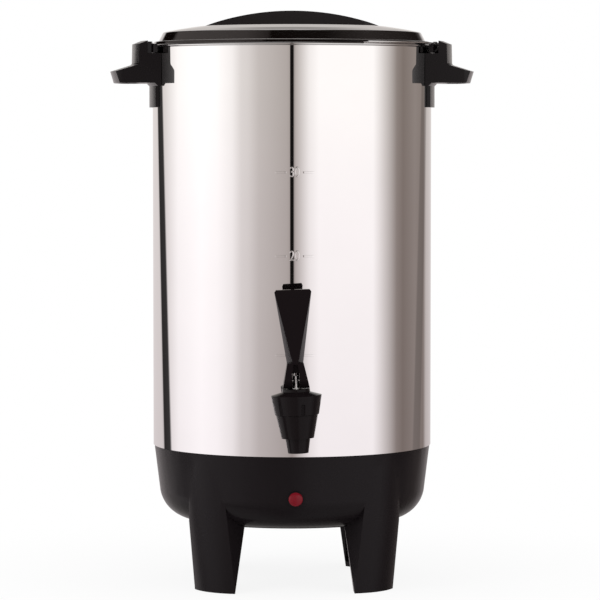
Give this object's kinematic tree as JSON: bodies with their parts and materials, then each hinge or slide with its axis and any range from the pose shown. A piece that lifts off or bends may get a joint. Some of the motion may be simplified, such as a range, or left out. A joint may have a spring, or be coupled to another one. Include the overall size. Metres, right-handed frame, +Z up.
{
  "type": "coffee urn",
  "caption": "Percolating coffee urn: steel tank on a moulded base with legs, twist-on lid, side handles, lever tap, pump tube and basket.",
  "frame": {"origin": "where the tank's axis meets the table, midway between the four feet", "axes": "+Z up along the tank, -Y towards the tap, +X to the right when facing the tap"},
  "size_m": [0.2348, 0.2332, 0.3688],
  "materials": {
    "polished_steel": "mirror-polished stainless steel",
    "lid_steel": "satin to bright stainless steel",
    "black_moulding": "satin black phenolic moulding with a fine grain",
    "black_handles": "satin black heat-proof moulding",
    "black_tap": "glossy black moulding",
    "red_lens": "clear red moulding",
    "black_rubber": "soft black rubber",
    "clear_silicone": "milky silicone",
    "bright_rod": "bright drawn steel",
    "zinc_steel": "zinc-plated steel",
    "pressed_steel": "plain pressed steel sheet",
    "cast_aluminium": "cast aluminium",
    "inner_aluminium": "brushed aluminium sheet and tube",
    "white_moulding": "white heat-proof moulding"
  },
  "bodies": {
    "root": {"tank": "polished_steel", "tank_studs": "zinc_steel", "base_shell": "black_moulding", "stud_nuts": "zinc_steel", "base_cover": "pressed_steel", "cover_screws": "zinc_steel", "indicator_lens": "red_lens", "lamp_holder": "black_moulding", "cord_gland": "black_rubber", "heater_plate": "cast_aluminium", "heating_element": "pressed_steel", "heater_clamp": "pressed_steel", "thermostat": "zinc_steel", "thermal_fuse": "zinc_steel", "terminal_block": "white_moulding", "handle_left": "black_handles", "handle_right": "black_handles", "handle_screws": "zinc_steel", "handle_washers": "clear_silicone", "tap_body": "black_tap", "tap_gasket": "clear_silicone", "tank_gasket": "clear_silicone", "tap_nut": "zinc_steel", "tap_bonnet": "black_tap", "tap_spring": "bright_rod"},
    "lid_seal": {"lid_seal": "black_rubber"},
    "lid": {"lid_shell": "lid_steel", "lid_ears": "black_handles", "lid_rivets": "zinc_steel", "lid_grip": "black_handles", "grip_screws": "zinc_steel"},
    "stem": {"tap_stem": "bright_rod", "seat_cup": "clear_silicone", "lever_pin": "bright_rod"},
    "lever": {"tap_lever": "black_tap"},
    "pump": {"pump_tube": "inner_aluminium", "pump_base": "inner_aluminium"},
    "pump_valve": {"pump_valve": "pressed_steel"},
    "basket": {"basket": "inner_aluminium"},
    "spreader": {"spreader": "inner_aluminium"}
  },
  "joints": [
    {"name": "lid_lift", "type": "slide", "parent": "root", "child": "lid_seal", "axis": [0, 0, 1], "range_m": [0, 0.12]},
    {"name": "lid_turn", "type": "hinge", "parent": "lid_seal", "child": "lid", "pos_m": [0, 0, 0.348], "axis": [0, 0, 1], "range_deg": [0, 18]},
    {"name": "stem_lift", "type": "slide", "parent": "root", "child": "stem", "axis": [-0.0349, 0, 0.9994], "range_m": [0, 0.0037], "deforming": ["tap_spring"]},
    {"name": "tap_lever", "type": "hinge", "parent": "stem", "child": "lever", "pos_m": [-0.00098, -0.126, 0.13988], "axis": [0.9994, 0, 0.0349], "range_deg": [0, 70], "stiffness_Nm_per_rad": 0.008, "springref_deg": -45.84},
    {"name": "pump_lift", "type": "slide", "parent": "root", "child": "pump", "axis": [0, 0, 1], "range_m": [0, 0.004]},
    {"name": "valve_rise", "type": "slide", "parent": "pump", "child": "pump_valve", "axis": [0, 0, 1], "range_m": [0, 0.0019]},
    {"name": "basket_lift", "type": "slide", "parent": "pump", "child": "basket", "axis": [0, 0, 1], "range_m": [0, 0.003]},
    {"name": "spreader_lift", "type": "slide", "parent": "basket", "child": "spreader", "axis": [0, 0, 1], "range_m": [0, 0.002]}
  ],
  "couplings": [
    {"joint": "stem_lift", "follows": "tap_lever", "m_per_rad": 0.003}
  ]
}
